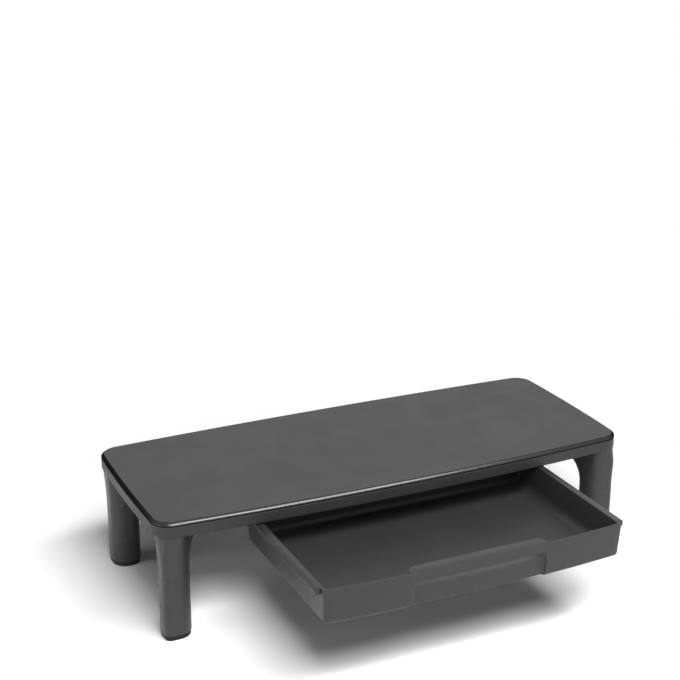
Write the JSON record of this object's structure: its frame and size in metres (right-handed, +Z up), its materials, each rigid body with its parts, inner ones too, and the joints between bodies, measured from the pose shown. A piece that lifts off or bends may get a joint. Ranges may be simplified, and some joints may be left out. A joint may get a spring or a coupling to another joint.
{
  "type": "monitor stand with drawer",
  "caption": "Low desk stand with a bowed platform on flared legs with stacking risers and rubber feet, and a shallow tray drawer that slides out to the front.",
  "frame": {"origin": "on the desk, below the centre of the platform, in the plane of the rubber feet", "axes": "+X along the platform to the right as seen from the drawer side, +Y to the back, +Z up"},
  "size_m": [0.54, 0.3718, 0.129],
  "materials": {
    "deck_plastic": "fine grain, with a smooth glossy rolled edge",
    "skirt_plastic": "fine grain",
    "leg_plastic": "satin",
    "foot_rubber": "matte",
    "drawer_plastic": "satin, fine grain inside",
    "rail_plastic": "smooth",
    "screw_steel": "zinc plated"
  },
  "bodies": {
    "platform": {"deck_panel": "deck_plastic", "skirt_frame": "skirt_plastic", "upper_leg_front_left": "leg_plastic", "upper_leg_front_right": "leg_plastic", "upper_leg_back_left": "leg_plastic", "upper_leg_back_right": "leg_plastic", "drawer_rail_left": "rail_plastic", "drawer_rail_right": "rail_plastic", "frame_screws": "screw_steel", "leg_screws": "screw_steel", "rail_screws_left": "screw_steel", "rail_screws_right": "screw_steel"},
    "drawer": {"drawer_tray": "drawer_plastic"},
    "middle_riser_front_left": {"middle_riser_front_left": "leg_plastic"},
    "lower_riser_front_left": {"lower_riser_front_left": "leg_plastic", "rubber_foot_front_left": "foot_rubber"},
    "middle_riser_front_right": {"middle_riser_front_right": "leg_plastic"},
    "lower_riser_front_right": {"lower_riser_front_right": "leg_plastic", "rubber_foot_front_right": "foot_rubber"},
    "middle_riser_back_left": {"middle_riser_back_left": "leg_plastic"},
    "lower_riser_back_left": {"lower_riser_back_left": "leg_plastic", "rubber_foot_back_left": "foot_rubber"},
    "middle_riser_back_right": {"middle_riser_back_right": "leg_plastic"},
    "lower_riser_back_right": {"lower_riser_back_right": "leg_plastic", "rubber_foot_back_right": "foot_rubber"}
  },
  "joints": [
    {"name": "drawer_slide", "type": "slide", "parent": "platform", "child": "drawer", "axis": [0, 1, 0], "range_m": [0, 0.152]},
    {"name": "middle_riser_front_left_pull", "type": "slide", "parent": "platform", "child": "middle_riser_front_left", "axis": [0, 0, -1], "range_m": [0, 0.014]},
    {"name": "lower_riser_front_left_pull", "type": "slide", "parent": "middle_riser_front_left", "child": "lower_riser_front_left", "axis": [0, 0, -1], "range_m": [0, 0.014]},
    {"name": "middle_riser_front_right_pull", "type": "slide", "parent": "platform", "child": "middle_riser_front_right", "axis": [0, 0, -1], "range_m": [0, 0.014]},
    {"name": "lower_riser_front_right_pull", "type": "slide", "parent": "middle_riser_front_right", "child": "lower_riser_front_right", "axis": [0, 0, -1], "range_m": [0, 0.014]},
    {"name": "middle_riser_back_left_pull", "type": "slide", "parent": "platform", "child": "middle_riser_back_left", "axis": [0, 0, -1], "range_m": [0, 0.014]},
    {"name": "lower_riser_back_left_pull", "type": "slide", "parent": "middle_riser_back_left", "child": "lower_riser_back_left", "axis": [0, 0, -1], "range_m": [0, 0.014]},
    {"name": "middle_riser_back_right_pull", "type": "slide", "parent": "platform", "child": "middle_riser_back_right", "axis": [0, 0, -1], "range_m": [0, 0.014]},
    {"name": "lower_riser_back_right_pull", "type": "slide", "parent": "middle_riser_back_right", "child": "lower_riser_back_right", "axis": [0, 0, -1], "range_m": [0, 0.014]}
  ]
}
